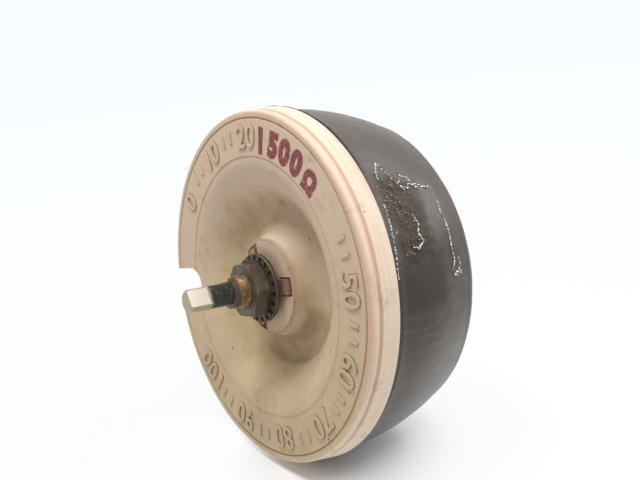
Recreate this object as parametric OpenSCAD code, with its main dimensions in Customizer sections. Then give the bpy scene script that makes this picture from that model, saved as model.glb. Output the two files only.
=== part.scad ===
// Ring-type wirewound rheostat: a power resistor wound on a ceramic ring, glazed over with
// vitreous enamel, with a rotary contact arm that runs on the bared back of the winding.
// All pieces are drawn with the shaft along +Z and depths counted backwards from the
// panel plane, then stood up so that the shaft points to -Y and +Z is up.

/* [Ceramic base] */
// Rim radius at its back edge
base_r = 50.8; // [49.6:0.2:56]
// How much smaller the rim is at its front
rim_draft = 0.7; // [0.2:0.1:1.6]
// Depth of the rim, which is where the resistor ring is seated
rim_depth = 8.4; // [7:0.2:12]
// How far in from the rim the groove round the flat ring lies
groove_inset = 2.9; // [2.5:0.1:4.2]
// Width of that groove
groove_w = 0.8; // [0.4:0.1:1.2]
// Depth of that groove
groove_deep = 0.35; // [0.1:0.05:0.8]
// How far in from the rim the dish's edge lies
dish_inset = 13.9; // [12.3:0.1:16.7]
// Radius at which the dish is deepest
valley_r = 20; // [18:0.5:23]
// Depth of the dish
valley_deep = 9.5; // [7:0.5:12]
// Thickness of the ceramic behind the dish
web_t = 6; // [4:0.5:8]
// Radius of the boss's flat face
boss_r = 13.8; // [13.4:0.1:15]
// How far the boss's face lies behind the panel plane
boss_recess = 2.9; // [1.5:0.1:4]
// Height of the raised land on the boss's face
boss_land = 0.35; // [0.1:0.05:0.6]
// Radius of the post behind the dish
post_r = 16.8; // [16.2:0.1:17.4]
// Distance from the panel plane to the post's back face
post_back = 32; // [28:0.5:34]
// Width of the notch in the rim
notch_w = 11.8; // [8:0.2:18]
// Depth of the notch in the rim
notch_deep = 15.6; // [5:0.2:16]
// Radius of the corners at the notch's inner end
notch_round = 4.8; // [1:0.2:5.4]

/* [Locating plate] */
// Distance of the two side lugs from the axis
lug_off = 5.4; // [4:0.1:5.8]
// Width of each lug
lug_w = 4.4; // [3:0.1:6]
// Radius of the lugs' ends
lug_r = 11.8; // [11:0.1:12.4]
// Width of the slots that take the lugs
slot_w = 5.4; // [4.8:0.1:7]
// Radius of the slots' ends
slot_r = 13; // [12.4:0.1:13.1]
// Radius of the plate's round middle
plate_r = 7.8; // [7.2:0.1:8.4]
// Thickness of the plate
plate_t = 3.2; // [2.4:0.1:3.6]
// Thickness of the lugs
lug_t = 1.9; // [1.4:0.1:2.4]
// Depth of the recess that takes the plate
recess_deep = 1.2; // [0.8:0.1:2.4]
// Width of the key that stops the bushing from turning
key_w = 1.6; // [1:0.1:2.2]
// Depth of the key
key_deep = 0.7; // [0.4:0.1:0.9]

/* [Bushing, nut and washers] */
// Radius over the bushing's thread
bushing_r = 4.76; // [4.5:0.01:5.6]
// How far the bushing stands in front of the panel plane
bushing_front = 8; // [5:0.1:12]
// Gap between the bushing's flange and the collector ring round it
flange_gap = 2.4; // [1.6:0.1:3]
// Thickness of that flange
flange_t = 1.6; // [1:0.1:2]
// Thickness of the mica washer under the flange
mica_t = 0.4; // [0.2:0.1:0.6]
// Radius of the flat washer
washer_r = 9.8; // [8.6:0.1:10.5]
// Thickness of the flat washer
washer_t = 1; // [0.8:0.1:2.6]
// Radius of the lock washer
lock_r = 9.5; // [8.6:0.1:10]
// Thickness of the lock washer
lock_t = 0.7; // [0.5:0.1:1.2]
// Number of teeth in the lock washer
lock_teeth = 20; // [8:1:22]
// Nut size across its flats
nut_af = 14.3; // [13:0.1:17]
// Thickness of the nut
nut_t = 4.2; // [2:0.1:5]

/* [Shaft] */
// Radius of the shaft
shaft_r = 3.175; // [3:0.005:3.5]
// How far the shaft's tip stands in front of the panel plane
shaft_front = 22.6; // [18:0.2:40]
// Length of the flat at the tip
flat_len = 5.8; // [4:0.2:6]
// Depth of the flat
flat_deep = 1; // [0.5:0.05:1.2]
// Angle from the contact arm round to the flat
flat_turn = 163; // [0:1:359]
// Radius of the retaining ring
ring_clip_r = 4.2; // [3.9:0.05:4.5]
// Thickness of the retaining ring
ring_clip_t = 1.6; // [0.6:0.1:2]
// Depth of the grooves in the shaft
clip_groove = 0.45; // [0.3:0.05:0.6]

/* [Resistor ring] */
// How far in from the rim the ring's outside lies where it meets the base
ring_inset = 0.5; // [0.3:0.1:2.8]
// Width of the ring from its outside to its hole
ring_w = 20.3; // [18.9:0.1:21.3]
// Distance from the panel plane to the back of the ring
ring_back = 43.5; // [42.5:0.1:48]
// Radius of the outer back shoulder
shoulder_r = 7.5; // [6:0.1:8.5]
// Radius of the inner back shoulder
lip_r = 2.6; // [2.4:0.1:3.2]
// Width of the flat between the shoulders, which carries the track
back_flat = 5.4; // [5.3:0.1:6]
// Thickness of the enamel over the winding
coat_t = 1.5; // [1:0.1:2]
// Thickness of the resistance ribbon
ribbon_t = 0.6; // [0.4:0.05:0.9]
// Width of the resistance ribbon
ribbon_w = 1; // [0.6:0.05:1.1]
// Number of turns
turns = 120; // [40:4:130]
// Width of the bared track
track_w = 5; // [4.7:0.1:5.2]

/* [Terminals] */
// Width of the band round each end of the winding
band_w = 5; // [3:0.2:6]
// Width of the terminal strips
strip_w = 8; // [6.5:0.2:9.5]
// Thickness of the terminal strips
strip_t = 1.2; // [0.8:0.1:1.6]
// How far in front of the ring's back the end strips leave it
strip_in = 5.2; // [4.8:0.1:6]
// How far beyond the rim the terminal screws lie
screw_past = 5.2; // [4.2:0.1:11.2]
// Radius over the terminal screws' thread
screw_r = 1.75; // [1.5:0.05:2]
// Length of the terminal screws under the head
screw_len = 8.5; // [7.5:0.5:12]
// Terminal nut size across its flats
term_nut_af = 6.4; // [6:0.1:7.5]
// Thickness of the terminal nuts
term_nut_t = 2.4; // [1.8:0.1:3]

/* [Collector] */
// How far in from the post's edge the collector ring lies
collector_inset = 0.8; // [0.5:0.1:1.2]
// Width of the collector ring
collector_w = 6; // [5.6:0.1:6.2]
// Thickness of the collector ring
collector_t = 1.5; // [1.5:0.1:2.2]
// Radius of its rivets
rivet_r = 1; // [0.7:0.1:1.2]
// Length of its rivets in the post
rivet_len = 4.8; // [3:0.2:6]

/* [Contact arm] */
// Angle that the arm turns through
travel_angle = 282; // [240:2:284]
// How far the stop stands out from the post
stop_out = 3.5; // [3:0.1:4]
// Thickness of the stop plate
stop_t = 1.5; // [1:0.1:2]
// Width of the stop plate's finger
finger_w = 4; // [3:0.2:5]
// Thickness of the insulating hub
hub_t = 6.6; // [6:0.2:8]
// Radius of the insulating hub
hub_r = 9.6; // [9:0.1:10.2]
// Radius of the collector brush
carbon_r = 2; // [1.5:0.1:2.2]
// Thickness of the arm's leaf
arm_t = 0.8; // [0.5:0.1:1]
// Width of the arm at the hub
arm_w = 12; // [10:0.5:14]
// Width of the arm at the brush
arm_tip_w = 7; // [6.5:0.5:8]
// Height of the contact brush above the track
brush_h = 2.4; // [2.2:0.1:4]
// Length of the contact brush along the track
brush_len = 5; // [3.5:0.2:6]
// Width of the contact brush across the track
brush_w = 4.4; // [3:0.2:4.6]
// Radius of the drive pin
pin_r = 0.95; // [0.7:0.05:1.2]
// Radius of the screws that hold the arm
arm_screw_r = 1.1; // [0.8:0.1:1.3]

/* [Fits] */
// Radial clearance of the shaft in its bearing
run_fit = 0.04; // [0.02:0.01:0.08]
// Clearance between fixed pieces
seat_fit = 0.05; // [0.03:0.01:0.08]
// Clearance round loose pieces and at the ends of blind holes
loose_fit = 0.2; // [0.1:0.05:0.3]
// Gap under the sliding contacts
slide_gap = 0.15; // [0.1:0.05:0.3]
// Gap between the stop plate's finger and what it passes over
sweep_gap = 0.3; // [0.2:0.05:0.5]

/* [Hidden] */
$fn = 96;

// Cut that runs clear of a surface
over = 1;

// Base: front of the rim, its rounded edge, the dip behind the edge and the back chamfer
rim_front_r = base_r - rim_draft;
groove_r = base_r - groove_inset;
dish_r = base_r - dish_inset;
rim_round_w = 0.8;
rim_round_h = 1.8;
rim_dip = 0.25;
rim_dip_h = 2.3;
rim_dip_w = 0.4;
rim_chamfer = 0.4;

// Base: fine line round the dish, edge of the boss, edge of the post
line_deep = 0.2;
line_w = 0.35;
boss_edge = 0.2;
post_edge = 1;
dish_steps = 24;
flank_steps = 10;
web_steps = 5;

// Stack on the front of the boss, as depths behind the panel plane
recess_floor = boss_recess + recess_deep;
plate_front = recess_floor - plate_t;
washer_front = plate_front - washer_t;
lock_front = washer_front - lock_t;
nut_front = lock_front - nut_t;
recess_r = plate_r + loose_fit;

// Collector
collector_back = post_back + collector_t;
collector_out_r = post_r - collector_inset;
collector_in_r = collector_out_r - collector_w;
collector_r = collector_in_r + collector_w / 2;

// Bushing: the thread is drawn at its root radius where the nut and washers surround it
thread_deep = 0.3;
sleeve_r = bushing_r - thread_deep;
bore_r = sleeve_r + seat_fit;
flange_r = collector_in_r - flange_gap;
flange_front = post_back + mica_t;
flange_back = flange_front + flange_t;

// Stack on the back of the shaft
stop_front = collector_back + strip_t + sweep_gap;
stop_back = stop_front + stop_t;
hub_front = stop_back + seat_fit;
hub_back = hub_front + hub_t;
arm_front = hub_back + seat_fit;
thrust_r = flange_r - 1.4;
stop_disc_r = flange_r + 0.6;
lobe_r = carbon_r + 1.6;

// Ring: outlines are the enamel's own, moved in by the coat and by the ribbon
ring_front_r = base_r - ring_inset;
ring_in_r = ring_front_r - ring_w;
crest_r = ring_in_r + lip_r + back_flat;
shoulder_tilt = 21;
shoulder_h = ring_back - shoulder_r;
shoulder_top_r = crest_r + shoulder_r * cos(shoulder_tilt);
bulge_power = 2.2;
neck_deep = 0.5;
neck_len = 8;
wire_in = coat_t + ribbon_t;
track_r = (ring_in_r + lip_r + crest_r) / 2;
track_h = ring_back - coat_t;

// Winding and the bands at its ends, as angles from the middle of the travel
half_travel = travel_angle / 2;
spare_angle = 3.5;
gap_angle = 0.7;
lap_angle = 0.3;
wind_half = half_travel + spare_angle;
band_angle = band_w / track_r * 180 / PI;
strip_angle = 2 * asin(strip_w / 2 / (crest_r + shoulder_r - wire_in));
band_mid = wind_half + gap_angle + max(band_angle, strip_angle) / 2;

// Terminal strips
lug_h = ring_back - strip_in;
run_h = ring_back + loose_fit;
stop_end_r = post_r + stop_out;
riser_gap = 1.4;
riser_r = stop_end_r + riser_gap;
screw_out = base_r + screw_past;
pad_in = 0.8;
strip_hole_r = screw_r + loose_fit;
screw_head_r = screw_r + 1.5;
screw_head_t = 1.8;
screw_slot_w = 0.8;
term_washer_r = screw_head_r + 0.5;
term_washer_t = 0.6;

// Stop on the base: the finger meets it at each end of the travel
play_angle = 1;
stop_proud = 0.4;
stop_in_r = post_r + sweep_gap;
finger_r = stop_end_r - stop_proud;
stop_block_half = 180 - half_travel - asin(finger_w / 2 / stop_in_r) - play_angle;
stop_block_back = stop_back + stop_proud;

// Arm and brush: the arm rests at its clockwise end
arm_rest = -half_travel;
brush_front = track_h + slide_gap;
holder_roof = 0.5;
holder_wall = 0.6;
tip_front = brush_front + brush_h + holder_roof;
step_gap = 6;
step_len = 6;
step_out_r = ring_in_r - step_gap;
step_in_r = step_out_r - step_len;
arm_end_r = track_r + brush_w / 2 + holder_wall;
arm_round_r = hub_r - 0.6;
arm_hole_r = shaft_r + 0.6;
arm_narrow = 1;
backing_t = 0.7 * arm_t;
backing_len = 4;
arm_screw_out = 6.4;
arm_screw_head_t = 1.2;
pin_in = 2;
pin_h = hub_front + pin_in;
screw_land = 0.8;
arm_screw_h = pin_h + pin_r + screw_land;
carbon_back = hub_front + 0.35 * hub_t;

// Height of the dish's surface behind the panel plane at radius r
function dish_h(r) = line_deep
    + (valley_deep - line_deep) * (1 + cos(180 * (r - valley_r) / (dish_r - valley_r))) / 2;

// Outer radius of the enamel at depth h, drawn in a little behind the base
function ring_edge(h) = ring_front_r
    - (ring_front_r - shoulder_top_r) * pow((h - rim_depth) / (shoulder_h - rim_depth
        + shoulder_r * sin(shoulder_tilt)), bulge_power)
    - ((h < rim_depth + neck_len) ? neck_deep * sin(180 * (h - rim_depth) / neck_len) : 0);

// Section through the ring as radius and height, moved in by inset, its curves in steps
function ring_section(inset, edge_steps, arc_steps) = let(
    h0 = rim_depth + inset,
    h1 = shoulder_h + (shoulder_r - inset) * sin(shoulder_tilt))
    concat(
        [[ring_in_r + inset, -h0]],
        [for (i = [0 : edge_steps - 1]) let(h = h0 + (h1 - h0) * i / edge_steps)
            [ring_edge(h) - inset, -h]],
        [for (i = [0 : arc_steps]) let(a = shoulder_tilt + (90 - shoulder_tilt) * i / arc_steps)
            [crest_r + (shoulder_r - inset) * cos(a), -shoulder_h - (shoulder_r - inset) * sin(a)]],
        [for (i = [0 : arc_steps - 1]) let(a = 90 + 90 * i / (arc_steps - 1))
            [ring_in_r + lip_r + (lip_r - inset) * cos(a), -ring_back + lip_r - (lip_r - inset) * sin(a)]]);

// Section inside the enamel, drawn alike for the core, the turns and the bands
function inner_section(inset) = ring_section(inset, 3, 2);

// Stands a piece drawn along +Z up in the part's frame
module stand() {
    rotate([90, 0, 0]) children();
}

// Round solid from depth h0 to depth h1
module disc(r, h0, h1) {
    translate([0, 0, -h1]) cylinder(r = r, h = h1 - h0);
}

// Round solid with a hole
module tube(r, hole, h0, h1) {
    difference() {
        disc(r, h0, h1);
        disc(hole, h0 - over, h1 + over);
    }
}

// Block along +X from x0 to x1, w wide, from depth h0 to depth h1
module bar(x0, x1, w, h0, h1) {
    translate([x0, -w / 2, -h1]) cube([x1 - x0, w, h1 - h0]);
}

// Wedge of angle 2 * half round +X, used to keep a part of a round solid
module wedge(half, h0, h1) {
    translate([0, 0, -h1]) rotate([0, 0, -half]) rotate_extrude(angle = 2 * half)
        square([base_r + over, h1 - h0]);
}

// Hexagon with chamfered corners from depth h0 to depth h1, w across its flats
module hexagon(w, h0, h1, chamfer) {
    corner = w / 2 / cos(30);
    intersection() {
        translate([0, 0, -h1]) cylinder(r = corner, h = h1 - h0, $fn = 6);
        rotate_extrude() polygon([[0, -h1], [corner - chamfer, -h1], [corner, -h1 + chamfer * 0.6],
            [corner, -h0 - chamfer * 0.6], [corner - chamfer, -h0], [0, -h0]]);
    }
}

// ---- Ceramic base ----

module base_body() {
    flank_h = boss_recess + boss_land;
    back_r = ring_in_r - loose_fit;
    front = concat(
        [[bore_r, -boss_recess], [boss_r - boss_edge - 0.15, -boss_recess], [boss_r - boss_edge, -flank_h]],
        [for (i = [0 : flank_steps - 1]) let(a = 90 * i / flank_steps)
            [boss_r + (valley_r - boss_r) * (1 - cos(a)), -flank_h - (valley_deep - flank_h) * sin(a)]],
        [for (i = [0 : dish_steps]) let(r = valley_r + (dish_r - valley_r) * i / dish_steps)
            [r, -dish_h(r)]],
        [[dish_r + line_w, -line_deep - 0.05], [dish_r + 2 * line_w, 0],
        [groove_r - groove_w / 2, 0], [groove_r, -groove_deep], [groove_r + groove_w / 2, 0]]);
    rim = concat(
        [for (a = [0 : 22.5 : 90])
            [rim_front_r - rim_round_w * (1 - sin(a)), -rim_round_h * (1 - cos(a))]],
        [[rim_front_r - rim_dip, -rim_dip_h], [rim_front_r - rim_dip, -rim_dip_h - rim_dip_w],
        [rim_front_r + rim_dip / 2, -rim_dip_h - 2 * rim_dip_w], [base_r, -rim_depth + rim_chamfer],
        [base_r - rim_chamfer, -rim_depth]]);
    back = concat(
        [[back_r, -rim_depth]],
        [for (i = [web_steps : -1 : 0]) let(r = valley_r + (back_r - valley_r) * i / web_steps)
            [r, -dish_h(r) - web_t]],
        [[post_r + post_edge, -valley_deep - web_t], [post_r, -valley_deep - web_t - post_edge],
        [post_r, -post_back], [bore_r, -post_back]]);
    rotate_extrude() polygon(concat(front, rim, back));
}

module stop_block() {
    intersection() {
        union() {
            tube(stop_end_r, post_r - over, valley_deep + web_t / 2, post_back);
            tube(stop_end_r, stop_in_r, post_back - over, stop_block_back);
        }
        wedge(stop_block_half, valley_deep, stop_block_back);
    }
}

// Outline of the locating plate: a disc with square-ended lugs
module plate_shape(r, w, end_r) {
    circle(r = r);
    intersection() {
        circle(r = end_r);
        union() {
            translate([0, -w / 2]) square([end_r, w]);
            translate([-lug_off - w / 2, -end_r]) square([w, 2 * end_r]);
        }
    }
}

// Outline of the notch: open at the rim, its inner corners rounded
module notch_shape() {
    inner = base_r - notch_deep;
    hull() for (side = [-1, 1]) {
        translate([inner + notch_round, side * (notch_w / 2 - notch_round)]) circle(r = notch_round);
        translate([base_r, side * (notch_w / 2 - over / 2)]) square(over, center = true);
    }
}

module ceramic_base() {
    color("wheat") stand() difference() {
        union() {
            base_body();
            stop_block();
        }
        translate([0, 0, -recess_floor]) linear_extrude(recess_deep + over)
            plate_shape(recess_r, slot_w, slot_r);
        rotate([0, 0, 180]) translate([0, 0, -rim_depth - over]) linear_extrude(rim_depth + 2 * over)
            notch_shape();
        for (a = [60, 180, 300]) rotate([0, 0, a]) translate([collector_r, 0, 0])
            disc(rivet_r + seat_fit, post_back - rivet_len - loose_fit, post_back + over);
    }
}

// ---- Resistor ring ----

module ring_solid(inset, half) {
    rotate([0, 0, -half]) rotate_extrude(angle = 2 * half) polygon(inner_section(inset));
}

module ring_core() {
    color("tan") stand() rotate_extrude() polygon(inner_section(wire_in));
}

module resistance_winding() {
    color("silver") stand() for (i = [0 : turns - 1])
        rotate([90, 0, -wind_half + (i + 0.5) * 2 * wind_half / turns])
            linear_extrude(ribbon_w, center = true) difference() {
                polygon(inner_section(coat_t));
                polygon(inner_section(wire_in - seat_fit));
            }
}

module lug_room(fit) {
    bar(ring_in_r + lip_r, base_r + over, strip_w + 2 * fit, lug_h - fit, lug_h + strip_t + fit);
}

module enamel_coat() {
    color("dimgray") stand() difference() {
        rotate_extrude() polygon(ring_section(0, 12, 5));
        rotate_extrude() polygon(inner_section(wire_in - seat_fit));
        ring_solid(coat_t - seat_fit, band_mid + band_angle / 2 + lap_angle);
        rotate([0, 0, -band_mid]) rotate_extrude(angle = 2 * band_mid)
            translate([track_r - track_w / 2, -ring_back - over]) square([track_w, coat_t + 1.2 * over]);
        for (side = [-1, 1]) rotate([0, 0, side * band_mid]) lug_room(2 * seat_fit);
    }
}

// Band round one end of the winding, with the strip that carries its screw
module end_terminal(side) {
    color("goldenrod") stand() rotate([0, 0, side * band_mid]) difference() {
        union() {
            difference() {
                ring_solid(coat_t, band_angle / 2);
                ring_solid(wire_in - seat_fit, band_angle);
            }
            difference() {
                bar(crest_r, screw_out, strip_w, lug_h, lug_h + strip_t);
                ring_solid(wire_in - seat_fit, 3 * band_angle);
            }
            translate([screw_out, 0, 0]) disc(strip_w / 2, lug_h, lug_h + strip_t);
        }
        translate([screw_out, 0, 0]) disc(strip_hole_r, lug_h - over, lug_h + strip_t + over);
    }
}

module end_terminal_left() {
    end_terminal(1);
}

module end_terminal_right() {
    end_terminal(-1);
}

// ---- Terminals ----

module centre_terminal() {
    pad_r = collector_in_r + pad_in;
    color("goldenrod") stand() rotate([0, 0, 180]) difference() {
        union() {
            rotate([90, 0, 0]) linear_extrude(strip_w, center = true) polygon([
                [pad_r, -collector_back], [riser_r + strip_t, -collector_back],
                [riser_r + strip_t, -run_h], [screw_out, -run_h], [screw_out, -run_h - strip_t],
                [riser_r, -run_h - strip_t], [riser_r, -collector_back - strip_t],
                [pad_r, -collector_back - strip_t]]);
            translate([screw_out, 0, 0]) disc(strip_w / 2, run_h, run_h + strip_t);
        }
        translate([screw_out, 0, 0]) disc(strip_hole_r, run_h - over, run_h + strip_t + over);
        translate([collector_r, 0, 0])
            disc(rivet_r + seat_fit, collector_back - over, collector_back + strip_t + over);
    }
}

// Places its children at each terminal screw, with the strip's back face at depth 0
module at_terminals() {
    for (side = [-1, 1]) rotate([0, 0, side * band_mid])
        translate([screw_out, 0, -lug_h - strip_t]) children();
    rotate([0, 0, 180]) translate([screw_out, 0, -run_h - strip_t]) children();
}

module terminal_screws() {
    head_front = term_washer_t;
    color("silver") stand() at_terminals() difference() {
        union() {
            disc(screw_r, head_front - screw_len, head_front + screw_head_t / 4);
            rotate_extrude() polygon([[0, -head_front], [screw_head_r, -head_front],
                [screw_head_r, -head_front - screw_head_t * 0.6],
                [screw_head_r - 0.7, -head_front - screw_head_t], [0, -head_front - screw_head_t]]);
        }
        bar(-screw_head_r - over, screw_head_r + over, screw_slot_w, head_front + screw_head_t / 2,
            head_front + screw_head_t + over);
    }
}

module terminal_washers() {
    color("silver") stand() at_terminals()
        tube(term_washer_r, screw_r + seat_fit, 0, term_washer_t);
}

module terminal_nuts() {
    color("silver") stand() at_terminals() difference() {
        hexagon(term_nut_af, -strip_t - term_nut_t, -strip_t, 0.4);
        disc(screw_r + seat_fit, -strip_t - term_nut_t - over, -strip_t + over);
    }
}

// ---- Collector ----

module collector_ring() {
    color("gold") stand() difference() {
        tube(collector_out_r, collector_in_r, post_back, collector_back);
        for (a = [60, 180, 300]) rotate([0, 0, a]) translate([collector_r, 0, 0])
            disc(rivet_r + seat_fit, post_back - over, collector_back + over);
    }
}

module collector_rivets() {
    color("gold") stand() {
        for (a = [60, 300]) rotate([0, 0, a]) translate([collector_r, 0, 0])
            disc(rivet_r, post_back - rivet_len, collector_back - loose_fit);
        rotate([0, 0, 180]) translate([collector_r, 0, 0])
            disc(rivet_r, post_back - rivet_len, collector_back + strip_t);
    }
}

// ---- Bushing, nut and washers ----

module keyway(w, inner_r) {
    rotate([0, 0, 90]) bar(inner_r, bushing_r + over, w, -bushing_front - over, recess_floor + seat_fit);
}

module bushing() {
    tip = 0.4;
    color("goldenrod") stand() difference() {
        rotate_extrude() polygon([
            [shaft_r + run_fit, bushing_front], [bushing_r - tip, bushing_front],
            [bushing_r, bushing_front - tip], [bushing_r, -nut_front], [sleeve_r, -nut_front],
            [sleeve_r, -flange_front], [flange_r, -flange_front], [flange_r, -flange_back + tip],
            [flange_r - tip, -flange_back], [shaft_r + run_fit, -flange_back]]);
        keyway(key_w, bushing_r - key_deep);
    }
}

module mica_washer() {
    color("khaki") stand() tube(flange_r + 1, bore_r, post_back, flange_front);
}

module locating_plate() {
    key_tip = bushing_r - key_deep + seat_fit;
    key_fit_w = key_w - 2 * seat_fit;
    color("saddlebrown") stand() translate([0, 0, -recess_floor]) union() {
        linear_extrude(lug_t) difference() {
            plate_shape(plate_r, lug_w, lug_r);
            circle(r = plate_r - over);
        }
        linear_extrude(plate_t) difference() {
            circle(r = plate_r);
            difference() {
                circle(r = bore_r);
                translate([-key_fit_w / 2, key_tip]) square([key_fit_w, plate_r - key_tip]);
            }
        }
    }
}

module flat_washer() {
    edge = 0.3;
    color("dimgray") stand() rotate_extrude() polygon([[bore_r, -plate_front], [washer_r, -plate_front],
        [washer_r, -washer_front - edge], [washer_r - edge, -washer_front], [bore_r, -washer_front]]);
}

module lock_washer() {
    tooth = 1.3;
    tooth_w = 1.7;
    root_r = lock_r - tooth;
    color("dimgray") stand() translate([0, 0, -washer_front]) linear_extrude(lock_t) difference() {
        union() {
            circle(r = root_r);
            for (i = [0 : lock_teeth - 1]) rotate(i * 360 / lock_teeth)
                translate([root_r - tooth / 2, -tooth_w / 2]) square([1.5 * tooth, tooth_w]);
        }
        circle(r = bore_r);
    }
}

module mounting_nut() {
    color("slategray") stand() difference() {
        hexagon(nut_af, nut_front, lock_front, 0.8);
        disc(bore_r, nut_front - over, lock_front + over);
    }
}

// ---- Shaft and its stack, drawn with the arm along +X ----

// Turns the rotor to its rest angle and stands it up
module rotor() {
    stand() rotate([0, 0, arm_rest]) children();
}

module shaft() {
    groove_front = bushing_front + ring_clip_t + 2 * seat_fit;
    back = hub_back + 1.6;
    tip = 0.5;
    core_r = shaft_r - clip_groove;
    color("lightsteelblue") rotor() difference() {
        rotate_extrude() polygon([
            [0, shaft_front], [shaft_r - tip, shaft_front], [shaft_r, shaft_front - tip],
            [shaft_r, groove_front], [core_r, groove_front], [core_r, bushing_front],
            [shaft_r, bushing_front], [shaft_r, -back + tip], [shaft_r - tip, -back], [0, -back]]);
        rotate([0, 0, flat_turn]) bar(shaft_r - flat_deep, shaft_r + over, 3 * shaft_r,
            -shaft_front - over, -shaft_front + flat_len);
        translate([0, 0, -pin_h]) rotate([90, 0, 0])
            cylinder(r = pin_r + seat_fit, h = 3 * shaft_r, center = true);
        rotate([0, 0, 180]) bar(shaft_r - flat_deep, shaft_r + over, 3 * shaft_r,
            stop_front - 2 * seat_fit, stop_back + 2 * seat_fit);
    }
}

module retaining_ring() {
    mouth_w = 3.4;
    front = -bushing_front - ring_clip_t - seat_fit;
    color("dimgray") rotor() difference() {
        tube(ring_clip_r, shaft_r - clip_groove + seat_fit, front, front + ring_clip_t);
        rotate([0, 0, 250]) bar(0, ring_clip_r + over, mouth_w, front - over, front + ring_clip_t + over);
    }
}

module thrust_washer() {
    color("goldenrod") rotor() tube(thrust_r, shaft_r + run_fit, flange_back + seat_fit,
        stop_front - seat_fit);
}

module stop_plate() {
    color("silver") rotor() rotate([0, 0, 180]) difference() {
        union() {
            disc(stop_disc_r, stop_front, stop_back);
            bar(0, finger_r, finger_w, stop_front, stop_back);
        }
        difference() {
            disc(shaft_r + seat_fit, stop_front - over, stop_back + over);
            bar(shaft_r - flat_deep + seat_fit, shaft_r + over, 3 * shaft_r, stop_front - over,
                stop_back + over);
        }
    }
}

module insulating_hub() {
    edge = 0.5;
    color("whitesmoke") rotor() difference() {
        union() {
            rotate_extrude() polygon([[0, -hub_front], [hub_r, -hub_front], [hub_r, -hub_back + edge],
                [hub_r - edge, -hub_back], [0, -hub_back]]);
            bar(0, collector_r, 2 * lobe_r, hub_front, hub_back);
            translate([collector_r, 0, 0]) disc(lobe_r, hub_front, hub_back);
        }
        disc(shaft_r + seat_fit, hub_front - over, hub_back + over);
        translate([collector_r, 0, 0]) disc(carbon_r + seat_fit, hub_front - over, hub_back + over);
        translate([0, 0, -pin_h]) rotate([90, 0, 0])
            cylinder(r = pin_r + seat_fit, h = 3 * hub_r, center = true);
        for (side = [-1, 1]) translate([0, side * arm_screw_out, 0])
            disc(arm_screw_r + seat_fit, arm_screw_h - loose_fit, hub_back + over);
    }
}

module drive_pin() {
    color("silver") rotor() translate([0, 0, -pin_h]) rotate([90, 0, 0])
        cylinder(r = pin_r, h = 2 * hub_r - 4 * loose_fit, center = true);
}

module collector_brush() {
    color("dimgray") rotor() translate([collector_r, 0, 0])
        disc(carbon_r, collector_back + slide_gap, carbon_back);
}

module collector_spring() {
    wire_r = 0.22;
    coil_r = carbon_r - wire_r - loose_fit;
    front = carbon_back + seat_fit + wire_r;
    back = arm_front - seat_fit - wire_r;
    turns_up = 5;
    steps = 14;
    sides = 6;
    rings = turns_up * steps;
    points = [for (i = [0 : rings]) let(a = 360 * i / steps, h = front + (back - front) * i / rings)
        for (j = [0 : sides - 1]) let(b = 360 * j / sides)
            let(r = coil_r + wire_r * cos(b)) [r * cos(a), r * sin(a), -h + wire_r * sin(b)]];
    walls = [for (i = [0 : rings - 1]) for (j = [0 : sides - 1]) let(k = (j + 1) % sides)
        for (tri = [[i * sides + j, (i + 1) * sides + k, (i + 1) * sides + j],
                [i * sides + j, i * sides + k, (i + 1) * sides + k]]) tri];
    ends = [[for (j = [sides - 1 : -1 : 0]) j], [for (j = [0 : sides - 1]) rings * sides + j]];
    color("silver") rotor() translate([collector_r, 0, 0]) polyhedron(points, concat(walls, ends));
}

// ---- Contact arm ----

// Side view of a leaf that lies on the hub and steps back over the ring's inner edge, or on
// another such leaf, so that the bends lie flat on each other
function leaf_side(end_r, front, t) = let(
    tip = front + tip_front - arm_front,
    nest = (front - arm_front) / 3,
    miter = nest + t / 3) [
    [-arm_round_r, -front], [step_in_r - nest, -front], [step_out_r - nest, -tip], [end_r, -tip],
    [end_r, -tip - t], [step_out_r - miter, -tip - t], [step_in_r - miter, -front - t],
    [-arm_round_r, -front - t]];

// Front view of a leaf: round over the hub, tapering to its tip
module leaf_plan(w, tip_w, end_r, h0, h1) {
    translate([0, 0, -h1]) linear_extrude(h1 - h0) union() {
        circle(r = arm_round_r);
        polygon([[0, -w / 2], [step_in_r, -w / 2], [end_r, -tip_w / 2], [end_r, tip_w / 2],
            [step_in_r, w / 2], [0, w / 2]]);
    }
}

module leaf(w, tip_w, end_r, front, t) {
    back = tip_front + front - arm_front + t + over;
    intersection() {
        rotate([90, 0, 0]) linear_extrude(2 * hub_r, center = true) polygon(leaf_side(end_r, front, t));
        leaf_plan(w, tip_w, end_r, front - over, back);
    }
}

module arm_holes() {
    back = arm_front + arm_t + backing_t + over;
    disc(arm_hole_r, arm_front - over, back);
    for (side = [-1, 1]) translate([0, side * arm_screw_out, 0])
        disc(arm_screw_r + seat_fit, arm_front - over, back);
}

module contact_arm() {
    color("peru") rotor() difference() {
        leaf(arm_w, arm_tip_w, arm_end_r, arm_front, arm_t);
        arm_holes();
    }
}

module backing_leaf() {
    color("darkgoldenrod") rotor() difference() {
        leaf(arm_w - 2 * arm_narrow, arm_tip_w - arm_narrow / 2, step_out_r + backing_len,
            arm_front + arm_t, backing_t);
        arm_holes();
    }
}

module arm_screws() {
    seat = arm_front + arm_t + backing_t;
    back = seat + arm_screw_head_t;
    head_r = arm_screw_r + 1;
    edge = 0.5;
    color("silver") rotor() for (side = [-1, 1]) translate([0, side * arm_screw_out, 0]) difference() {
        union() {
            disc(arm_screw_r, arm_screw_h, seat + edge / 2);
            rotate_extrude() polygon([[0, -seat], [head_r, -seat], [head_r, -back + edge],
                [head_r - edge, -back], [0, -back]]);
        }
        bar(-head_r - over, head_r + over, edge, back - arm_screw_head_t / 2, back + over);
    }
}

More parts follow.
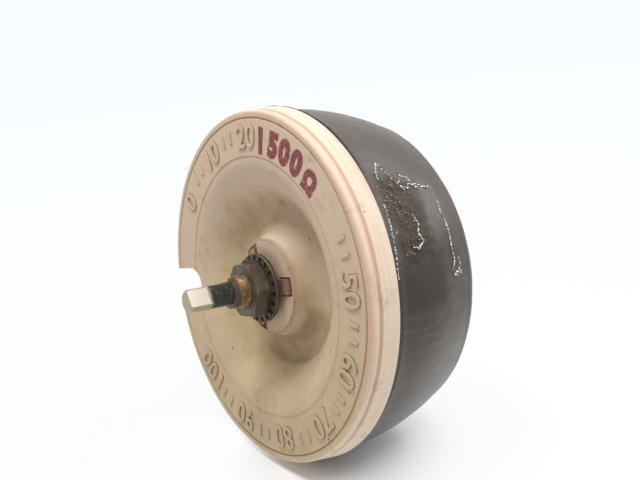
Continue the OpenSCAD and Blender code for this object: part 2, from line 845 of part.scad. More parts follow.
module brush_holder() {
    skirt = tip_front - ring_back - sweep_gap;
    color("goldenrod") rotor() translate([track_r, 0, 0]) difference() {
        bar(-brush_w / 2 - holder_wall, brush_w / 2 + holder_wall, brush_len + 2 * holder_wall,
            tip_front - skirt, tip_front);
        bar(-brush_w / 2 - seat_fit, brush_w / 2 + seat_fit, brush_len + 2 * seat_fit,
            tip_front - skirt - over, tip_front - holder_roof);
    }
}

module contact_brush() {
    color("dimgray") rotor() translate([track_r, 0, 0])
        bar(-brush_w / 2, brush_w / 2, brush_len, brush_front, tip_front - holder_roof);
}

module brush_shunt() {
    braid_r = 0.55;
    bend_r = 2.6;
    foot = 0.6;
    color("orangered") rotor() translate([track_r, 0, -tip_front - arm_t - foot]) {
        rotate([-90, 0, 0]) rotate_extrude(angle = 180) translate([bend_r, 0]) circle(r = braid_r, $fn = 24);
        for (side = [-1, 1]) translate([side * bend_r, 0, 0]) disc(braid_r, -foot, 0);
    }
}

ceramic_base();
ring_core();
resistance_winding();
enamel_coat();
end_terminal_left();
end_terminal_right();
centre_terminal();
terminal_screws();
terminal_washers();
terminal_nuts();
collector_ring();
collector_rivets();
bushing();
mica_washer();
locating_plate();
flat_washer();
lock_washer();
mounting_nut();
shaft();
retaining_ring();
thrust_washer();
stop_plate();
insulating_hub();
drive_pin();
collector_brush();
collector_spring();
contact_arm();
backing_leaf();
arm_screws();
brush_holder();
contact_brush();
brush_shunt();
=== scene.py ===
"""Dresses a ring-type wirewound rheostat: ceramic base, enamelled ring, shaft and contact arm."""

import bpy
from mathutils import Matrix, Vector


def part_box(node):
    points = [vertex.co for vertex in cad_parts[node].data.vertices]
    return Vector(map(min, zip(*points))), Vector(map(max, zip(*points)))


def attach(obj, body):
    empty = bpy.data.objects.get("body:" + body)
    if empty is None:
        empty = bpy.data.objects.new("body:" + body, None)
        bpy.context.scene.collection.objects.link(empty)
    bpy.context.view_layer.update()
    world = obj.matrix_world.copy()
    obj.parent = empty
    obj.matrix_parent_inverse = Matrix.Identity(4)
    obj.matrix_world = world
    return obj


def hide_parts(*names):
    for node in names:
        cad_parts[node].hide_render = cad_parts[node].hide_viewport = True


bl_info = {
    "name": "Wirewound Rheostat",
    "version": (1, 0, 0),
    "blender": (4, 5, 0),
    "location": "3D View > Sidebar > Rheostat",
    "description": "Finishes the pieces of a wirewound rheostat and sets it on a pale floor",
    "category": "Add Mesh",
}

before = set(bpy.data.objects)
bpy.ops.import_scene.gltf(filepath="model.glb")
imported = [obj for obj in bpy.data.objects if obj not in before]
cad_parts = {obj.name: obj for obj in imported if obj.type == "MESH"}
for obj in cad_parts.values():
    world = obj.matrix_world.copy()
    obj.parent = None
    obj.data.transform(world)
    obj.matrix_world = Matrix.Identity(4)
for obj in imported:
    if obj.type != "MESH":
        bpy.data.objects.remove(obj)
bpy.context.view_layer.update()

import math
from types import SimpleNamespace

import bmesh
import bpy
from bpy.props import FloatProperty, FloatVectorProperty, IntProperty, PointerProperty, StringProperty
from mathutils import Matrix, Vector, noise

MM = 0.001


def box_of(node):
    """A CAD node's lowest and highest corners in millimetres."""
    low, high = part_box(node)
    return low / MM, high / MM


# ---------------------------------------------------------------- sizes and colours


def length(name, value, description):
    """A length, given here in millimetres."""
    return FloatProperty(name=name, description=description, default=value * MM, unit="LENGTH", precision=5)


def swing(name, degrees, description):
    """An angle, given here in degrees."""
    return FloatProperty(name=name, description=description, default=math.radians(degrees), subtype="ANGLE")


def colour(name, value, description):
    return FloatVectorProperty(
        name=name, description=description, default=value, subtype="COLOR", size=3, min=0, max=1
    )


class CeramicSettings(bpy.types.PropertyGroup):
    cream: colour("Cream", (0.70, 0.545, 0.405), "Clean fired ceramic")
    olive: colour("Olive", (0.635, 0.505, 0.31), "Yellower clay towards the bottom")
    peach: colour("Peach", (0.74, 0.505, 0.385), "Warmer patches in the body")
    # Partly a painted highlight on the rim.
    pale: colour("Pale", (0.84, 0.70, 0.57), "Cleaner clay on the rim")
    blush: colour("Blush", (0.74, 0.36, 0.22), "Pink firing marks inside the rim")
    moss: colour("Moss", (0.55, 0.43, 0.20), "Yellow-green tinge in the hollow")
    # Also the colour of the painted shade and painted shadows in the dish.
    stain_and_shade: colour("Stain", (0.33, 0.215, 0.115), "Grime in grooves and round the lettering")
    speck: colour("Speck", (0.05, 0.035, 0.025), "Iron specks")
    scale_in: length("Scale inside", 39.8, "Inner radius of the raised numerals")
    numeral: length("Numeral height", 6.6, "Height of the raised numerals")
    relief: length("Relief", 0.42, "How far the numerals stand out")
    sweep: swing("Sweep", 282, "Angle from the first numeral to the last")
    stamp_text: StringProperty(name="Stamp", description="Resistance value stamped in red", default="1500Ω")
    stamp_ink: colour("Stamp ink", (0.27, 0.045, 0.055), "Faded red ink")
    stamp_thin: colour("Thin ink", (0.44, 0.16, 0.15), "The same ink where it is thin")


class EnamelSettings(bpy.types.PropertyGroup):
    glaze: colour("Glaze", (0.046, 0.035, 0.027), "Dark vitreous enamel")
    # Also the tone of the painted sheen along the ring's top and of the painted floor reflection low on its
    # side.
    dust_and_sheen: colour("Dust", (0.165, 0.15, 0.14), "Dust and haze on the glaze")
    burnt: colour("Burnt glaze", (0.055, 0.042, 0.029), "Olive-brown glaze where it has boiled")
    # A near-black band below the patch, and the painted shade along the join with the base.
    pool: colour("Pooled glaze", (0.022, 0.016, 0.012), "Near-black glaze that ran down from the patch")
    char: colour("Char", (0.014, 0.010, 0.007), "Black spots in the burnt glaze")
    bare: colour("Bare patch", (0.52, 0.34, 0.27), "Crumbled enamel where the glaze has blistered")
    pit: colour("Pit", (0.10, 0.065, 0.045), "Dark pits between the crumbs")
    crumb: colour("Crumb shade", (0.17, 0.11, 0.085), "Darker grains in loose crumbs")
    # Pale chipped spots on the beads, brightened to near white as painted glints.
    chip_and_glint: colour("Chipped edge", (0.93, 0.95, 0.91), "Pale broken edges of the glaze")
    front: length("Front", box_of("enamel_coat")[0].y, "Depth of the ring's front face")
    back: length("Back", box_of("enamel_coat")[1].y, "Depth of the ring's back face")
    outer: length("Outer radius", box_of("enamel_coat")[1].z, "Radius where the ring meets the base")
    inner: length("Inner radius", 30.0, "Radius of the hole through the ring")
    track_in: length("Track inside", 32.8, "Inner radius of the bared track")
    track_out: length("Track outside", 37.8, "Outer radius of the bared track")
    coat: length("Coat", 1.5, "Thickness of the enamel over the wire")
    wires: IntProperty(name="Wires", description="Turns of wire across the track", default=372)
    wound: swing("Wound", 289, "Angle that the winding covers")


class MetalSettings(bpy.types.PropertyGroup):
    brass: colour("Brass", (0.60, 0.40, 0.17), "Turned and rolled brass")
    bronze: colour("Bronze", (0.52, 0.32, 0.18), "Spring bronze")
    copper: colour("Copper", (0.60, 0.28, 0.16), "Braided copper")
    plated: colour("Plated steel", (0.52, 0.51, 0.47), "Dull nickel plating")
    nut: colour("Nut", (0.165, 0.14, 0.11), "Blackened nut and retaining ring")
    washer: colour("Washer", (0.105, 0.09, 0.075), "Blackened steel washers")
    plate: colour("Locating plate", (0.42, 0.28, 0.20), "Rusty plating of the locating plate")
    rust: colour("Rust", (0.20, 0.085, 0.045), "Rust and old grease")
    # Its brightness is partly the flat's highlight, painted in.
    steel: colour("Steel", (0.92, 0.89, 0.78), "Bright ground steel on the shaft's flat")
    bare_steel: colour("Shaft steel", (0.44, 0.39, 0.265), "Steel yellowed by old lacquer")
    turned_steel: colour("Turning marks", (0.42, 0.38, 0.29), "Fine marks round the shaft")
    grease: colour("Grease", (0.035, 0.045, 0.038), "Dark grease at the foot of the shaft")
    glint: colour("Glint", (0.55, 0.62, 0.58), "Light caught by the grease")
    wire: colour("Wire", (0.50, 0.44, 0.34), "Resistance wire where the brush has rubbed it")
    dull_wire: colour("Dull wire", (0.27, 0.21, 0.15), "Oxidised resistance wire")
    dark_wire: colour("Dark wire", (0.12, 0.09, 0.065), "Darker oxide on the same wire")
    pitch: length("Thread pitch", 0.794, "Pitch of the bushing's thread")
    thread: length("Thread depth", 0.42, "Depth of the bushing's thread")


class MineralSettings(bpy.types.PropertyGroup):
    core: colour("Core", (0.62, 0.54, 0.43), "Ceramic core of the ring")
    core_shade: colour("Core shade", (0.50, 0.42, 0.32), "Darker grains in the core")
    hub: colour("Hub", (0.72, 0.69, 0.62), "White ceramic of the insulating hub")
    hub_shade: colour("Hub shade", (0.62, 0.58, 0.50), "Darker grains in the hub")
    graphite: colour("Graphite", (0.035, 0.035, 0.035), "Carbon of the brushes")
    graphite_shade: colour("Graphite shade", (0.075, 0.07, 0.065), "Greyer grains in the brushes")
    mica: colour("Mica", (0.42, 0.36, 0.24), "Sheet mica")
    mica_shade: colour("Mica shade", (0.30, 0.25, 0.17), "Browner flakes in the mica")


class StageSettings(bpy.types.PropertyGroup):
    turn: swing("Turn", 12, "How far the object lies turned about its shaft")
    lean: swing("Lean", 7.6, "How far the shaft points up as the ring rests on the floor")
    paper: colour("Paper", (0.90, 0.905, 0.92), "Floor and backdrop")


GROUPS = {
    "ceramic": CeramicSettings,
    "enamel": EnamelSettings,
    "metal": MetalSettings,
    "mineral": MineralSettings,
    "stage": StageSettings,
}


class RheostatSettings(bpy.types.PropertyGroup):
    ceramic: PointerProperty(type=CeramicSettings)
    enamel: PointerProperty(type=EnamelSettings)
    metal: PointerProperty(type=MetalSettings)
    mineral: PointerProperty(type=MineralSettings)
    stage: PointerProperty(type=StageSettings)


def measured(group):
    """A group's settings as they stand, with its lengths in millimetres."""
    chosen = {}
    for name in type(group).__annotations__:
        value = getattr(group, name)
        chosen[name] = value / MM if group.bl_rna.properties[name].unit == "LENGTH" else value
    return SimpleNamespace(**chosen)


# ---------------------------------------------------------------- finishes


class Term:
    """A value, colour or vector in a shader, so that shader maths reads as Python."""

    def __init__(self, shader, socket):
        self.shader = shader
        self.socket = socket

    def maths(self, operation, *terms):
        return self.shader.maths(operation, *terms)

    def __add__(self, other):
        return self.maths("ADD", self, other)

    __radd__ = __add__

    def __sub__(self, other):
        return self.maths("SUBTRACT", self, other)

    def __rsub__(self, other):
        return self.maths("SUBTRACT", other, self)

    def __mul__(self, other):
        return self.maths("MULTIPLY", self, other)

    __rmul__ = __mul__

    def __pow__(self, other):
        return self.maths("POWER", self, other)

    def __rpow__(self, other):
        return self.maths("POWER", other, self)

    def __abs__(self):
        return self.maths("ABSOLUTE", self)


class Shader:
    """The nodes of a material or of the sky."""

    def __init__(self, owner, output):
        owner.use_nodes = True
        self.tree = owner.node_tree
        self.tree.nodes.clear()
        self.output = self.tree.nodes.new(output)

    def node(self, kind, settings=None, *values, sockets=None, output=0, **named):
        """Adds a node, sets it up, then feeds its sockets with numbers, colours or other terms."""
        node = self.tree.nodes.new(kind)
        for setting, value in (settings or {}).items():
            setattr(node, setting, value)
        named = {socket.replace("_", " "): value for socket, value in named.items()}
        for socket, value in [*enumerate(values), *(sockets or {}).items(), *named.items()]:
            self.feed(node.inputs[socket], value)
        return Term(self, node.outputs[output])

    def feed(self, socket, value):
        if isinstance(value, Term):
            self.tree.links.new(value.socket, socket)
        elif socket.type == "RGBA" and len(value) == 3:
            socket.default_value = (*value, 1)
        else:
            socket.default_value = value

    def maths(self, operation, *terms):
        return self.node("ShaderNodeMath", {"operation": operation}, *terms)


class Finish(Shader):
    """A material round one Principled surface, with places measured in millimetres."""

    def __init__(self, name, **constants):
        self.material = bpy.data.materials.new(name)
        super().__init__(self.material, "ShaderNodeOutputMaterial")
        self.surface = self.tree.nodes.new("ShaderNodeBsdfPrincipled")
        self.tree.links.new(self.surface.outputs[0], self.output.inputs[0])
        self.set(**constants)
        place = self.node("ShaderNodeTexCoord", output="Object")
        self.place = self.node("ShaderNodeVectorMath", {"operation": "SCALE"}, place, Scale=1 / MM)
        self.x, self.depth, self.z = (
            self.node("ShaderNodeSeparateXYZ", {}, self.place, output=axis) for axis in "XYZ"
        )
        self.radius = (self.x * self.x + self.z * self.z) ** 0.5
        self.angle = self.maths("ARCTAN2", self.z, self.x)

    def set(self, **sockets):
        for socket, value in sockets.items():
            self.feed(self.surface.inputs[socket.replace("_", " ")], value)
        return self

    def most(self, *terms):
        """The greatest of several terms."""
        greatest, *others = terms
        for term in others:
            greatest = self.maths("MAXIMUM", greatest, term)
        return greatest

    def step(self, value, low, high):
        """0 below low, 1 above high, smooth between; low may be the greater."""
        smooth = {"interpolation_type": "SMOOTHSTEP"}
        return self.node("ShaderNodeMapRange", smooth, value, low, high, 0.0, 1.0)

    def band(self, value, middle, half, soft):
        """1 within half of the middle, fading out over soft."""
        return self.step(abs(value - middle), half + soft, half)

    def speckle(self, size, detail=2.0, roughness=0.5, at=None):
        """Noise from 0 to 1 whose features are about size millimetres across."""
        return self.node(
            "ShaderNodeTexNoise", {}, Vector=at or self.place, Scale=1 / size, Detail=detail,
            Roughness=roughness,
        )

    def pick(self, factor, first, second):
        """First where the factor is 0, second where it is 1; colours stay colours."""
        mixed = {0: factor, 6: first, 7: second}
        return self.node("ShaderNodeMix", {"data_type": "RGBA"}, sockets=mixed, output=2)

    def point(self, x, y, z):
        return self.node("ShaderNodeCombineXYZ", {}, x, y, z)

    def relief(self, height, depth):
        """Bumps of the given height field, depth millimetres from 0 to 1."""
        return self.node("ShaderNodeBump", {}, Height=height, Distance=depth * MM, Strength=1.0)


def dress(finish, *nodes):
    """Gives CAD nodes a finish."""
    for node in nodes:
        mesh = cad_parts[node].data
        mesh.materials.clear()
        mesh.materials.append(finish.material)
        for face in mesh.polygons:
            face.material_index = 0


def ceramic_finish(name, settings, raised=False):
    """Unglazed fired clay with grime in its grooves and dirt in its hollow, painted shade in the hollow and
    on the dish's upper wall, and painted shadows of the boss and shaft below them; raised work darkens
    towards its foot.
    """
    f = Finish(name, Specular_IOR_Level=0.35)
    broad = f.speckle(15, detail=3)
    blotch = f.speckle(5.5, detail=4, roughness=0.6)
    fine = f.speckle(1.1, detail=3, roughness=0.6)
    streak = f.speckle(1.0, detail=3, at=f.point(f.radius * 0.9, f.depth * 0.9, f.angle * 1.4))

    # Darker and yellower towards the bottom, cream towards the top.
    clay = f.pick(f.step(f.z + broad * 30, -12, 42), settings.olive, settings.cream)
    clay = f.pick(f.step(blotch, 0.46, 0.66) * 0.75, clay, settings.peach)
    # Paler clay on the rim, partly a painted highlight.
    clay = f.pick(f.step(f.radius, 48.6, 50.2) * 0.85, clay, settings.pale)
    rim = f.step(f.radius, 46.5, 48.5)
    clay = f.pick(f.step(streak, 0.52, 0.66) * rim * 0.6, clay, settings.peach)
    shoulder = f.band(f.depth, 2.75, 0.2, 0.7) * f.step(f.radius, 49.2, 49.6)
    fired = f.band(f.radius, 49.0, 0.7, 0.5) * (0.22 + f.step(streak, 0.4, 0.6) * 0.2)
    blush = f.most(fired, shoulder * 0.4) * f.band(f.angle, 0.35, 0.75, 0.5)
    clay = f.pick(blush, clay, settings.blush)
    hollow = f.band(f.radius, 21.5, 5, 6)
    moss = hollow * f.step(f.x + broad * 10, 8, -6) * f.step(blotch, 0.35, 0.6)
    clay = f.pick(moss * 0.55, clay, settings.moss)

    dirt = f.speckle(6, detail=4, roughness=0.62)
    groove = f.band(f.radius, 47.9, 0.35, 0.45) * f.step(f.depth, 0.0, 0.2)
    line = f.band(f.radius, 37.25, 0.15, 0.5)
    # Dirt in the dish's hollow, partly painted shade.
    low = f.band(f.radius, 19.0, 3.0, 9.0) * f.step(f.depth, 1.5, 4)
    # The boss's upper flank faces the light and keeps less of the hollow's painted shade.
    lit_upper_flank = f.step(f.z, 6, 13) * f.step(f.radius, 18.5, 16.5)
    # Painted shadow of the boss, nut and shaft, cast into the dish below them.
    foot = f.band(f.angle, -1.3, 0.72, 0.3) * f.band(f.radius, 19.4, 3.4, 2.0)
    # Painted shade on the upper right wall of the dish, under its edge.
    painted_upper_shade = f.band(f.angle + broad * 0.3, 1.05, 0.30, 0.45) * f.band(f.radius, 22.5, 2.5, 4.5)
    # The dish's dirt together with its painted shade and painted shadows.
    dish_dirt_and_shade = low * (1 - lit_upper_flank) * (0.15 + f.step(dirt, 0.36, 0.62) * 0.22) + foot * 0.66 + painted_upper_shade * 0.30
    boss = f.band(f.radius, 13.55, 0.12, 0.35)
    middle = f.step(f.radius, 12.5, 8.5)
    # Grime in the grooves and round the boss, with the dish's dirt and its painted shade and shadows.
    grime = f.most(groove * 0.6, line * 0.28, shoulder * 0.2, dish_dirt_and_shade, boss * 0.6, middle * 0.22)
    # Raised numerals darken towards where they meet the ring.
    if raised:
        grime = f.step(f.depth, -0.36, -0.16) * 0.75 + 0.10
    patches = f.step(dirt, 0.54, 0.74) * 0.30
    front = f.step(f.depth, 12, 8)
    # The clay darkens towards one brown with grime, dirt, painted shade and painted shadows.
    shade = f.pick(f.maths("MINIMUM", (grime + patches) * front, 0.9), clay, settings.stain_and_shade)
    cells = f.node("ShaderNodeTexVoronoi", {}, Vector=f.place, Scale=1 / 7.0)
    spots = f.step(cells + fine * 0.05, 0.085, 0.06)
    shade = f.pick(spots * 0.8, shade, settings.speck)
    grain = fine * 0.5 + f.speckle(0.35, detail=2) * 0.3 + f.speckle(9, detail=2) * 2.0
    f.set(
        Base_Color=f.pick(fine * 0.16, shade, settings.stain_and_shade),
        Roughness=0.62 + fine * 0.22,
        Normal=f.relief(grain, 0.09),
    )
    return f


def enamel_finish(settings):
    """Dark glaze with dusty patches, a painted sheen along its crown and a painted reflection of the floor
    along its foot, burnt and crumbled over the damage.
    """
    f = Finish("dark_enamel", Specular_IOR_Level=0.34)
    cloud = f.speckle(14, detail=4, roughness=0.6)
    fine = f.speckle(0.9, detail=3)
    drawn = f.point(f.angle * 30, f.depth * 0.07, f.radius * 0.1)
    streaks = f.speckle(1.0, detail=4, roughness=0.6, at=drawn)
    broad = f.speckle(20)

    # Streaks grow stronger towards the bottom.
    more_below = 0.35 + f.step(f.z, 5, -25) * 0.5
    dusty = f.step(cloud, 0.42, 0.75) * 0.5 + f.step(streaks, 0.5, 0.8) * more_below
    # Painted sheen along the top of the ring.
    crown = f.step(f.z + broad * 12, 30, 54)
    # Painted reflection of the pale floor low on the ring's right side, stronger towards the back.
    foot = f.band(f.angle + broad * 0.3, -0.95, 0.45, 0.55) * (0.4 + f.step(f.depth, 10, 26) * 0.85)
    # Dusty patches, the painted sheen on top and the painted floor reflection low down, together.
    haze = f.maths("MINIMUM", dusty * 0.5 + crown * 0.4 + foot * 0.62, 1.0)
    glaze = f.pick(haze, settings.glaze, settings.dust_and_sheen)

    patch = damage(f)
    glaze = f.pick(patch * 0.8, glaze, settings.burnt)
    # A near-black band below the patch.
    pool = f.band(f.angle + cloud * 0.1, 0.06, 0.10, 0.12) * f.band(f.depth + cloud * 6, 22, 6, 4)
    # Painted shade along the join with the base.
    painted_join_shade = f.step(f.depth, 10.3, 9.7)
    glaze = f.pick(f.most(pool * 0.85, painted_join_shade), glaze, settings.pool)
    charred = f.step(f.speckle(1.3, detail=4, roughness=0.7), 0.50, 0.62)
    glaze = f.pick(charred * patch, glaze, settings.char)
    crumbs = f.step(f.speckle(1.7, detail=5, roughness=0.75), 0.60, 0.68)
    bare = f.pick(f.step(f.speckle(0.8, detail=2), 0.35, 0.65), settings.bare, settings.pit)
    pebbles = f.node("ShaderNodeTexVoronoi", {"feature": "SMOOTH_F1"}, Vector=f.place, Scale=1 / 1.6)
    lumps = f.speckle(5, detail=2) * 1.4 + streaks * 0.22 + fine * 0.06 + pebbles * patch * 0.6
    f.set(
        Base_Color=f.pick(crumbs * patch, glaze, bare),
        Roughness=0.27 + cloud * 0.18 + fine * 0.06 + patch * 0.34,
        Normal=f.relief(lumps, 0.15),
    )
    return f


def damage(f):
    """Where the glaze has blistered: a ragged patch on the ring's upper right side."""
    ragged = f.speckle(4, detail=4, roughness=0.6) * 0.30 - 0.15
    along = f.band(f.angle + ragged, 0.33, 0.19, 0.10)
    across = f.band(f.depth + ragged * 22, 17.5, 4.0, 5.0)
    return along * across


def bead_finish(settings):
    """Glassy beads of glaze with pale chipped spots, brightened to near white as painted glints."""
    f = Finish("glaze_bead", Specular_IOR_Level=0.8, Roughness=0.12)
    # Where the beads take the near-white painted glints.
    broken = f.step(f.speckle(0.9, detail=3, roughness=0.7), 0.40, 0.52)
    return f.set(Base_Color=f.pick(broken, settings.burnt, settings.chip_and_glint))


def metal_finish(name, tone, roughness, dirt, dirty, brushed=None, grain=0.02):
    """Worn metal: a tone, brush marks if it was turned or rolled, and dirt in patches."""
    f = Finish(name, Metallic=1.0)
    patches = f.speckle(2.4, detail=5, roughness=0.65)
    if brushed == "turned":
        marks = f.speckle(0.16, detail=2, at=f.point(f.radius, f.depth, f.angle * 0.4))
    elif brushed == "rolled":
        marks = f.speckle(0.2, detail=2, at=f.point(f.x * 0.08, f.depth, f.z))
    else:
        marks = f.speckle(0.25, detail=2)
    grime = f.step(patches, 0.72 - dirty * 0.5, 0.86 - dirty * 0.35)
    darker = tuple(channel * 0.55 for channel in tone)
    f.set(
        Base_Color=f.pick(grime * 0.85, f.pick(marks * 0.3, tone, darker), dirt),
        Roughness=roughness + marks * 0.16 + grime * 0.3,
        Metallic=1 - grime * 0.75,
        Normal=f.relief(marks * 0.6 + patches * 0.4, grain),
    )
    return f


def wire_finish(settings):
    """Oxidised resistance wire, rubbed bright along the middle of the track."""
    f = Finish("resistance_wire")
    tarnish = f.speckle(2.0, detail=4)
    rubbed = f.band(f.radius + tarnish, 35.8, 0.8, 1.0) * f.step(tarnish, 0.15, 0.55)
    f.set(
        Base_Color=f.pick(rubbed, f.pick(tarnish, settings.dark_wire, settings.dull_wire), settings.wire),
        Metallic=0.75 + rubbed * 0.25,
        Roughness=0.5 - rubbed * 0.2 + tarnish * 0.1,
    )
    return f


def stone_finish(name, tone, shade, size, roughness):
    """Dull mineral or pressed material: two tones in fine grains."""
    f = Finish(name, Specular_IOR_Level=0.3)
    grain = f.speckle(size, detail=4, roughness=0.6)
    broad = f.speckle(size * 9, detail=2)
    f.set(
        Base_Color=f.pick(f.step(grain * 0.6 + broad * 0.4, 0.35, 0.68), tone, shade),
        Roughness=roughness + grain * 0.12,
        Normal=f.relief(grain, 0.03),
    )
    return f


def outline_finish(settings):
    """A brown band, uneven and partly clear, round where the raised numerals meet the ring."""
    f = Finish("numeral_grime", Roughness=0.8, Specular_IOR_Level=0.2, Base_Color=settings.stain_and_shade)
    return f.set(Alpha=f.step(f.speckle(1.6, detail=4, roughness=0.7), 0.25, 0.75) * 0.75)


def ink_finish(name, settings, cover):
    """Rubber-stamped ink, thin and broken where the ceramic is rough."""
    f = Finish(name, Roughness=0.7)
    blotch = f.speckle(1.8, detail=4, roughness=0.7)
    pores = f.speckle(0.4, detail=2)
    return f.set(
        Base_Color=f.pick(f.step(blotch, 0.35, 0.7), settings.stamp_ink, settings.stamp_thin),
        Alpha=cover + f.step(blotch, 0.32, 0.60) * 0.44 - f.step(pores, 0.55, 0.7) * 0.3,
    )


# ---------------------------------------------------------------- meshes


def linked(name, data):
    """A new object in the scene."""
    made = bpy.data.objects.new(name, data)
    bpy.context.scene.collection.objects.link(made)
    return made


def joined(name, meshes, finish, merge=0.0):
    """One object from several meshes, points closer than merge millimetres made one."""
    whole = bmesh.new()
    for mesh in meshes:
        whole.from_mesh(mesh)
        bpy.data.meshes.remove(mesh)
    if merge:
        bmesh.ops.remove_doubles(whole, verts=whole.verts, dist=merge * MM)
    bmesh.ops.recalc_face_normals(whole, faces=whole.faces)
    mesh = bpy.data.meshes.new(name)
    whole.to_mesh(mesh)
    whole.free()
    mesh.materials.append(finish.material)
    return linked(name, mesh)


def piece(name, points, faces, finish, smooth=True, merge=0.0):
    """A mesh from points in millimetres, with x, depth and z in the part's own frame."""
    mesh = bpy.data.meshes.new(name)
    mesh.from_pydata([Vector(p) * MM for p in points], [], faces)
    mesh.polygons.foreach_set("use_smooth", [smooth] * len(mesh.polygons))
    return joined(name, [mesh], finish, merge)


def at(radius, angle, depth):
    """A point given by its radius and angle about the shaft, and its depth along it."""
    return (radius * math.cos(angle), depth, radius * math.sin(angle))


def swept(rows, columns, place, closed_rows=True, closed_columns=False):
    """Points and faces of a grid; place(row, column) gives each point."""
    points = [place(i, j) for i in range(rows) for j in range(columns)]
    faces = []
    for i in range(rows if closed_rows else rows - 1):
        for j in range(columns if closed_columns else columns - 1):
            a, b = i * columns + j, i * columns + (j + 1) % columns
            c, d = (i + 1) % rows * columns + (j + 1) % columns, (i + 1) % rows * columns + j
            faces.append((a, b, c, d))
    return points, faces


def ease(value, low, high):
    """0 below low, 1 above high, smooth between; low may be the greater."""
    t = min(1.0, max(0.0, (value - low) / (high - low)))
    return t * t * (3 - 2 * t)


# ---------------------------------------------------------------- operators


class Maker:
    """What the operators share: that they can be undone, and the settings they read."""

    bl_options = {"REGISTER", "UNDO"}

    @property
    def settings(self):
        chosen = bpy.context.scene.rheostat
        return SimpleNamespace(**{name: measured(getattr(chosen, name)) for name in GROUPS})


class RHEOSTAT_OT_ceramic_base(Maker, bpy.types.Operator):
    """Give the ceramic base its stained, unglazed finish, with painted shade and shadows in its dish"""

    bl_idname = "rheostat.ceramic_base"
    bl_label = "Ceramic Base"

    def execute(self, context):
        s = self.settings.mineral
        dress(ceramic_finish("fired_ceramic", self.settings.ceramic), "ceramic_base")
        dress(stone_finish("core_ceramic", s.core, s.core_shade, size=0.5, roughness=0.75), "ring_core")
        return {"FINISHED"}


class RHEOSTAT_OT_numerals(Maker, bpy.types.Operator):
    """Raise a scale of numerals and ticks round the flat ring of the base"""

    bl_idname = "rheostat.numerals"
    bl_label = "Raised Numerals"

    def execute(self, context):
        s = self.settings.ceramic
        ceramic = ceramic_finish("raised_ceramic", s, raised=True)
        labels = [(str(10 * i), s.sweep / 2 - s.sweep * i / 10) for i in range(11) if i not in STAMPED]
        row = (labels, s.scale_in, s.numeral)
        raised = lettering("raised_numerals", *row, -s.relief, 0.15, ceramic, round_edge=0.10, spacing=1.06)
        marks = tick_marks("scale_ticks", s, ceramic)
        halo = lettering("numeral_grime", *row, -0.03, -0.02, outline_finish(s), embolden=0.24, spacing=1.06)
        for thing in (raised, marks, halo):
            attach(thing, "body")
        return {"FINISHED"}


# Font size that makes a numeral one unit tall, and how much smaller the ohm sign is stamped
FONT_SIZE = 1.37
OHM_SIZE = 0.80

# The numerals, counted from 0, whose places the stamp takes
STAMPED = (3, 4)


def lettering(name, labels, inner, height, front, sunk, finish, round_edge=0.0, spacing=1.0, embolden=0.0):
    """Words bent round the shaft, their tops outwards, from depth front to sunk, as one mesh."""
    words = []
    for text, middle in labels:
        curve = bpy.data.curves.new(name, "FONT")
        curve.body = text
        curve.size = height * MM * FONT_SIZE * (OHM_SIZE if text == "Ω" else 1.0)
        curve.space_character = spacing
        curve.align_x = "CENTER"
        curve.offset = embolden * MM
        curve.extrude = (sunk - front) / 2 * MM
        curve.bevel_depth = round_edge * MM
        curve.bevel_resolution = 1
        curve.resolution_u = 6
        flat = linked(name, curve)
        bpy.context.view_layer.update()
        mesh = bpy.data.meshes.new_from_object(flat.evaluated_get(bpy.context.evaluated_depsgraph_get()))
        bpy.data.objects.remove(flat)
        bent = inner + height / 2
        for vertex in mesh.vertices:
            across, up, out = vertex.co / MM
            vertex.co = Vector(at(inner + up, middle - across / bent, (front + sunk) / 2 - out)) * MM
        words.append(mesh)
    return joined(name, words, finish, merge=0.002)


def tick_marks(name, s, finish):
    """Short raised bars with sloping sides, one at every second percent of the scale.

    None stands beside a numeral, which is at every fifth place, or under the stamp.
    """
    points, faces = [], []
    inner, outer = s.scale_in + s.numeral * 0.30, s.scale_in + s.numeral * 0.78
    half, top = 0.42, -s.relief
    for i in range(51):
        if i % 5 in (0, 1, 4) or 11 <= i <= 20:
            continue
        angle = s.sweep / 2 - s.sweep * i / 50
        start = len(points)
        for depth, grow in ((0.1, 0.14), (top + 0.08, 0.0), (top, -0.1)):
            near, far = inner - grow, outer + grow
            for radius, side in ((near, -1), (far, -1), (far, 1), (near, 1)):
                points.append(at(radius, angle + side * (half + grow) / radius, depth))
        for corner in range(8):
            beside = corner + 1 if corner % 4 < 3 else corner - 3
            faces.append(tuple(start + k for k in (corner, beside, beside + 4, corner + 4)))
        faces.append(tuple(start + k for k in (8, 9, 10, 11)))
    return piece(name, points, faces, finish, smooth=False)


# Angle of each stamped letter about the shaft in degrees, set unevenly, and their height
STAMPED_AT = (74.6, 66.3, 58.8, 50.9, 41.2)
STAMP_HEIGHT = 6.6


class RHEOSTAT_OT_stamp(Maker, bpy.types.Operator):
    """Stamp the resistance value on the flat ring in red ink"""

    bl_idname = "rheostat.stamp"
    bl_label = "Value Stamp"

    def execute(self, context):
        s = self.settings.ceramic
        ink = ink_finish("stamp_ink", s, cover=0.28)
        soft = ink_finish("stamp_bleed", s, cover=0.08)
        labels = [(letter, math.radians(turn)) for letter, turn in zip(s.stamp_text, STAMPED_AT)]
        row = (labels, s.scale_in - 0.9, STAMP_HEIGHT)
        stamp = lettering("value_stamp", *row, -0.04, -0.03, ink, embolden=0.40)
        bleed = lettering("stamp_bleed", *row, -0.02, -0.01, soft, embolden=0.72)
        for thing in (stamp, bleed):
            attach(thing, "body")
        return {"FINISHED"}


